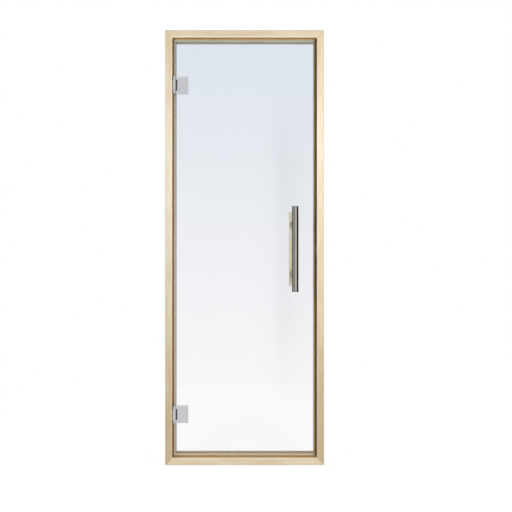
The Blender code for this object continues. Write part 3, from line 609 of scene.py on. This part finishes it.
def hinge_leaf_metal():
    """Polished metal with painted shade on its flat against the timber, where the rebate shades it.
    """
    made = metal("polished_hinge_leaf")
    tree = made.node_tree
    base = tree.nodes["Principled BSDF"].inputs["Base Color"]
    across = add_node(tree, "SeparateXYZ", {0: piece_coordinates(tree)}).outputs["X"]
    flat = remap(tree, across, LEAF_FACE_X + LEAF_FACE_EDGE, LEAF_FACE_X)
    shaded = mix_colours(tree, flat, base.links[0].from_socket, photo_colour(*LEAF_SHADE))
    tree.links.new(shaded, base)
    return made


def dress(node, finish):
    """Give a CAD node's own mesh a finish."""
    slots = frame["nodes"][node].data.materials
    slots.clear()
    slots.append(finish)


def finish_object(name, bm, finish, body):
    """A piece of the door from a bmesh, at the origin with its place in its mesh."""
    mesh = bpy.data.meshes.new(name)
    bm.to_mesh(mesh)
    bm.free()
    mesh.materials.append(finish)
    mesh.shade_smooth()
    mesh.set_sharp_from_angle(angle=SHARP_ANGLE)
    made = bpy.data.objects.new(name, mesh)
    bpy.context.scene.collection.objects.link(made)
    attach(made, body)
    return made


def eased_copy(node, finish, body, edge=METAL_EDGE):
    """A CAD node's shape with its sharp edges eased, shown in its place."""
    bm = bmesh.new()
    bm.from_mesh(frame["nodes"][node].data)
    bmesh.ops.remove_doubles(bm, verts=bm.verts, dist=MERGE_DISTANCE)
    bmesh.ops.dissolve_limit(bm, angle_limit=FLAT_ANGLE, verts=bm.verts, edges=bm.edges)
    made = finish_object(node + "_eased", bm, finish, body)
    bevel = made.modifiers.new("eased_edges", "BEVEL")
    bevel.width = edge
    bevel.segments = 2
    bevel.limit_method = "ANGLE"
    bevel.angle_limit = SHARP_ANGLE
    weighted = made.modifiers.new("flat_faces_stay_flat", "WEIGHTED_NORMAL")
    weighted.keep_sharp = True
    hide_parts(node)


def socket_reach(angle, radius, shape):
    """How far a hexagon or star socket of a radius reaches from its middle at an angle."""
    if shape == "hexagon":
        within = (angle + math.tau) % (math.tau / 6) - math.tau / 12
        return radius * math.cos(math.tau / 12) / math.cos(within)
    return radius * (1 - STAR_WAVE + STAR_WAVE * math.cos(6 * angle))


def new_verts(result):
    return [item for item in result["geom"] if isinstance(item, bmesh.types.BMVert)]


def screw(name, place, facing, radius, shape, finish, body):
    """A countersunk screw head with a hexagon or star socket, its face at a place."""
    bm = bmesh.new()
    bmesh.ops.create_circle(bm, cap_ends=True, segments=SCREW_SEGMENTS, radius=radius * SCREW_FACE)
    face = bm.faces[:][0]
    bmesh.ops.inset_region(bm, faces=[face], thickness=radius * SCREW_FACE_WIDTH)
    for vert in face.verts:
        angle = math.atan2(vert.co.y, vert.co.x)
        reach = socket_reach(angle, radius * SOCKET_RADIUS, shape)
        vert.co = Vector((math.cos(angle) * reach, math.sin(angle) * reach, 0.0))
    sunk = new_verts(bmesh.ops.extrude_face_region(bm, geom=[face]))
    bmesh.ops.translate(bm, verts=sunk, vec=(0.0, 0.0, -radius * SOCKET_DEPTH))
    bm.faces.remove(face)
    for ring_radius, drop in HEAD_RINGS:
        rim = [edge for edge in bm.edges if edge.is_boundary]
        for vert in new_verts(bmesh.ops.extrude_edge_only(bm, edges=rim)):
            spoke = Vector((vert.co.x, vert.co.y)).normalized() * (radius * ring_radius)
            vert.co = Vector((spoke.x, spoke.y, vert.co.z - radius * drop))
    rim = [edge for edge in bm.edges if edge.is_boundary]
    bmesh.ops.contextual_create(bm, geom=rim)
    bmesh.ops.recalc_face_normals(bm, faces=bm.faces)
    turn = Vector(facing).to_track_quat("Z", "Y").to_matrix().to_4x4()
    bmesh.ops.transform(bm, matrix=Matrix.Translation(place) @ turn, verts=bm.verts)
    finish_object(name, bm, finish, body)


def dress_timber():
    # Each member's rebate, wall and reveal colours are painted shade, darkest on the strike jamb
    dress("hinge_jamb", pale_timber(
        "hinge_jamb_timber",
        ALONG_Z,
        (0.0, 0.0, 0.31),
        (0.93, 0.93, 0.925),
        rebate=(0.65, 0.365, 0.065),
        wall=(0.37, 0.18, 0.03),
        reveal=(0.64, 0.65, 0.60),
        end_shaded=True,
    ))
    dress("strike_jamb", pale_timber(
        "strike_jamb_timber",
        ALONG_Z,
        (0.113, 0.02, 1.7),
        (0.965, 0.955, 0.925),
        rebate=(0.13, 0.045, 0.006),
        wall=(0.13, 0.045, 0.006),
        reveal=(0.82, 0.84, 0.80),
        end_shaded=True,
    ))
    dress("head", pale_timber(
        "head_timber",
        ALONG_X,
        (0.04, 0.011, -0.42),
        (0.906, 0.889, 0.832),
        rebate=(0.80, 0.58, 0.30),
        wall=(0.62, 0.49, 0.32),
        reveal=(0.65, 0.63, 0.51),
    ))
    dress("threshold", pale_timber(
        "threshold_timber",
        ALONG_X,
        (-0.037, 0.015, 2.3),
        (1.03, 1.015, 0.955),
        rebate=(0.66, 0.51, 0.30),
        wall=(0.60, 0.47, 0.29),
        reveal=(0.33, 0.31, 0.26),
    ))
    dress("inner_handle_bar", pale_timber(
        "inner_handle_bar_timber",
        ALONG_Z,
        (-0.06, 0.04, 0.9),
        (1.03, 1.09, 1.02),
    ))


def dress_glass():
    dress("glass_pane", clear_glass())
    pale = silicone("silicone_pale", (244, 231, 196), (251, 241, 212))
    # Painted shade: the strike side's seal is a darker copy of the same silicone
    shaded = silicone("silicone_shaded", (172, 136, 60), (188, 152, 76))
    dress("seal_hinge_side", pale)
    dress("seal_strike_side", shaded)
    dress("seal_top", pale)
    dress("seal_bottom", pale)


def dress_hinges(satin, bright, rubber, screw_metal):
    for level in ("upper", "lower"):
        name = level + "_hinge_"
        eased_copy(name + "jamb_leaf", bright, "frame", LEAF_EDGE)
        eased_copy(name + "front_plate", satin, "leaf")
        eased_copy(name + "back_plate", satin, "leaf")
        dress(name + "pin", satin)
        dress(name + "front_gasket", rubber)
        dress(name + "back_gasket", rubber)
        low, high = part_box(name + "back_plate")
        leaf_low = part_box(name + "jamb_leaf")[0]
        centre = (low + high) / 2
        clamp_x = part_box("glass_pane")[0].x + CLAMP_SCREW_INSET
        clamp_y = high.y - CLAMP_SCREW_SUNK
        leaf_x = leaf_low.x + JAMB_LEAF_THICKNESS - FLAT_SCREW_SUNK
        leaf_y = leaf_low.y + LEAF_SCREW_SETBACK
        for side, sign in (("top", 1), ("bottom", -1)):
            spot = (clamp_x, clamp_y, centre.z + sign * CLAMP_SCREW_SPACING / 2)
            screw(
                name + "clamp_screw_" + side, spot, (0, 1, 0), CLAMP_SCREW_RADIUS, "hexagon",
                screw_metal, "leaf",
            )
            spot = (leaf_x, leaf_y, centre.z + sign * LEAF_SCREW_SPACING / 2)
            screw(
                name + "leaf_screw_" + side, spot, (1, 0, 0), LEAF_SCREW_RADIUS, "star",
                screw_metal, "frame",
            )


def dress_handle(steel, post_steel, washer_nylon):
    for node in ("outer_handle_tube", "outer_handle_cap_top", "outer_handle_cap_bottom"):
        dress(node, steel)
    for level in ("upper", "lower"):
        dress("outer_handle_post_" + level, post_steel)
        dress("inner_handle_post_" + level, post_steel)
        dress("handle_stud_" + level, steel)
        dress("outer_handle_washer_" + level, washer_nylon)
        dress("inner_handle_washer_" + level, washer_nylon)


def dress_catch(satin, roller_nylon, screw_metal):
    eased_copy("catch_body", satin, "frame", CATCH_EDGE)
    dress("catch_roller", roller_nylon)
    low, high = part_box("catch_body")
    middle = (low + high) / 2
    for side, sign in (("top", 1), ("bottom", -1)):
        height = middle.z + sign * CATCH_SCREW_SPACING / 2
        screw(
            "catch_screw_" + side, (low.x + FLAT_SCREW_SUNK, middle.y, height), (-1, 0, 0),
            CATCH_SCREW_RADIUS, "star", screw_metal, "frame",
        )


def dress_door():
    satin = metal("satin_chrome_plate")
    steel = metal("brushed_steel_tube")
    post_steel = metal("post_steel")
    screw_metal = metal("screw_steel")
    dress_timber()
    dress_glass()
    dress_hinges(satin, hinge_leaf_metal(), gasket_rubber(), screw_metal)
    soft_nylon = nylon()
    dress_handle(steel, post_steel, soft_nylon)
    dress_catch(satin, soft_nylon, screw_metal)


def background(tree, flanks_way, stand_way):
    """Which rays see the background, which of them gloss has turned, and what colour they see."""
    rays = add_node(tree, "LightPath").outputs
    seen = maths(tree, "MAXIMUM", rays["Is Camera Ray"], rays["Is Glossy Ray"])
    seen = maths(tree, "MAXIMUM", seen, rays["Is Transmission Ray"])
    mirrored = maths(tree, "MINIMUM", rays["Glossy Depth"], 1.0)
    flanks = add_node(tree, "Group", {"Vector": flanks_way}, node_tree=STUDIO_FLANKS).outputs[0]
    stand = add_node(tree, "Group", {"Vector": stand_way}, node_tree=STUDIO_STAND).outputs[0]
    studio = mix_colours(tree, 1.0, flanks, stand, "MULTIPLY")
    return seen, mirrored, mix_colours(tree, mirrored, WHITE, studio)


def direction_from(tree, place, origin):
    return add_node(tree, "VectorMath", {0: place, 1: origin}, operation="SUBTRACT").outputs[0]


def floor():
    """A round pale floor that fades into the white background, and keeps the door's shadow."""
    bm = bmesh.new()
    bmesh.ops.create_circle(bm, cap_ends=True, segments=FLOOR_SEGMENTS, radius=FLOOR_RADIUS)
    bmesh.ops.translate(bm, verts=bm.verts, vec=(0.0, 0.0, -FLOOR_DROP))
    mesh = bpy.data.meshes.new("studio_floor")
    bm.to_mesh(mesh)
    bm.free()
    made = bpy.data.objects.new("studio_floor", mesh)
    bpy.context.scene.collection.objects.link(made)
    paint, tree, shader = new_material("studio_floor_paint")
    shader.inputs["Base Color"].default_value = FLOOR_COLOUR
    shader.inputs["Roughness"].default_value = 0.6
    shader.inputs["Specular IOR Level"].default_value = 0.0
    place = add_node(tree, "TexCoord").outputs["Object"]
    reach = add_node(tree, "VectorMath", {0: place}, operation="LENGTH").outputs["Value"]
    fade = remap(tree, reach, *FLOOR_FADE, NEAR_SHARE, 1.0)
    lift = remap(tree, reach, *FLOOR_FADE, NEAR_LIFT, 0.0)
    seen, mirrored, colour = background(
        tree,
        direction_from(tree, place, FLANKS_ORIGIN),
        direction_from(tree, place, STAND_ORIGIN),
    )
    share = maths(tree, "MULTIPLY", seen, fade)
    unmirrored = maths(tree, "SUBTRACT", 1.0, mirrored)
    strength = maths(tree, "MULTIPLY_ADD", lift, unmirrored, 1.0)
    glow = add_node(tree, "Emission", {"Color": colour, "Strength": strength})
    both = add_node(tree, "MixShader", {0: share, 1: shader.outputs[0], 2: glow.outputs[0]})
    tree.links.new(both.outputs[0], tree.nodes["Material Output"].inputs["Surface"])
    mesh.materials.append(paint)


def world():
    """White to the camera and through the glass, the studio to gloss, and softer as a light."""
    made = bpy.data.worlds.new("studio_air")
    bpy.context.scene.world = made
    made.use_nodes = True
    tree = made.node_tree
    soft = tree.nodes["Background"]
    soft.inputs["Color"].default_value = WHITE
    soft.inputs["Strength"].default_value = AMBIENT
    way = add_node(tree, "TexCoord").outputs["Generated"]
    seen, _, colour = background(tree, way, way)
    shown = add_node(tree, "Background", {"Color": colour, "Strength": 1.0})
    mixed = add_node(tree, "MixShader", {0: seen, 1: soft.outputs[0], 2: shown.outputs[0]})
    tree.links.new(mixed.outputs[0], tree.nodes["World Output"].inputs["Surface"])


def lights():
    """The lamps, which light the door but show neither directly nor in gloss and glass."""
    for name, place, target, size, power in LAMPS:
        light = bpy.data.lights.new(name, "AREA")
        light.shape = "RECTANGLE"
        light.size, light.size_y = size
        light.energy = power
        made = bpy.data.objects.new(name, light)
        bpy.context.scene.collection.objects.link(made)
        made.location = place
        made.rotation_mode = "QUATERNION"
        made.rotation_quaternion = (Vector(target) - Vector(place)).to_track_quat("-Z", "Y")
        made.visible_camera = False
        made.visible_glossy = False
        made.visible_transmission = False


def camera():
    made = bpy.data.cameras.new("photo_camera")
    made.sensor_width = SENSOR
    made.lens = SENSOR * CAMERA_DISTANCE / (PHOTO_SIDE * METRES_PER_PIXEL)
    made.shift_y = (DOOR_CENTRE[1] - PHOTO_SIDE / 2) / PHOTO_SIDE
    placed = bpy.data.objects.new("photo_camera", made)
    bpy.context.scene.collection.objects.link(placed)
    low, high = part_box("hinge_jamb")
    aside = (PHOTO_SIDE / 2 - DOOR_CENTRE[0]) * METRES_PER_PIXEL
    placed.location = (aside, low.y - CAMERA_DISTANCE, (low.z + high.z) / 2)
    placed.rotation_euler = (math.radians(90), 0.0, 0.0)
    bpy.context.scene.camera = placed


dress_door()
floor()
world()
lights()
camera()
bpy.context.scene.view_settings.view_transform = "Standard"
